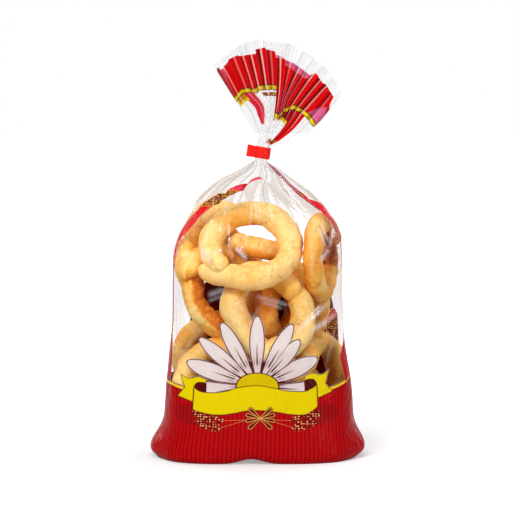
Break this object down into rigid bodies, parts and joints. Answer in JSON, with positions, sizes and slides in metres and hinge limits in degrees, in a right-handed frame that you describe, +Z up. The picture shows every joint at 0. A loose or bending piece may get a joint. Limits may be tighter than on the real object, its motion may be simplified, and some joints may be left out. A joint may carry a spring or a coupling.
{
  "type": "bag of ring biscuits",
  "caption": "Clear film bag of baked ring biscuits that stands on its block bottom, with a printed lower part and a ruffled top held shut by a band of tape.",
  "frame": {"origin": "middle of the flat base that the bag stands on", "axes": "+Z up from the base to the ruffle, +X to the right as seen from the printed front, -Y towards the viewer of the front"},
  "size_m": [0.1595, 0.0934, 0.3148],
  "materials": {
    "film": "clear glossy film with a red and yellow print",
    "tape": "red tape, half matte",
    "biscuit": null
  },
  "bodies": {
    "root": {"bag": "film", "tie": "tape"}
  },
  "joints": []
}
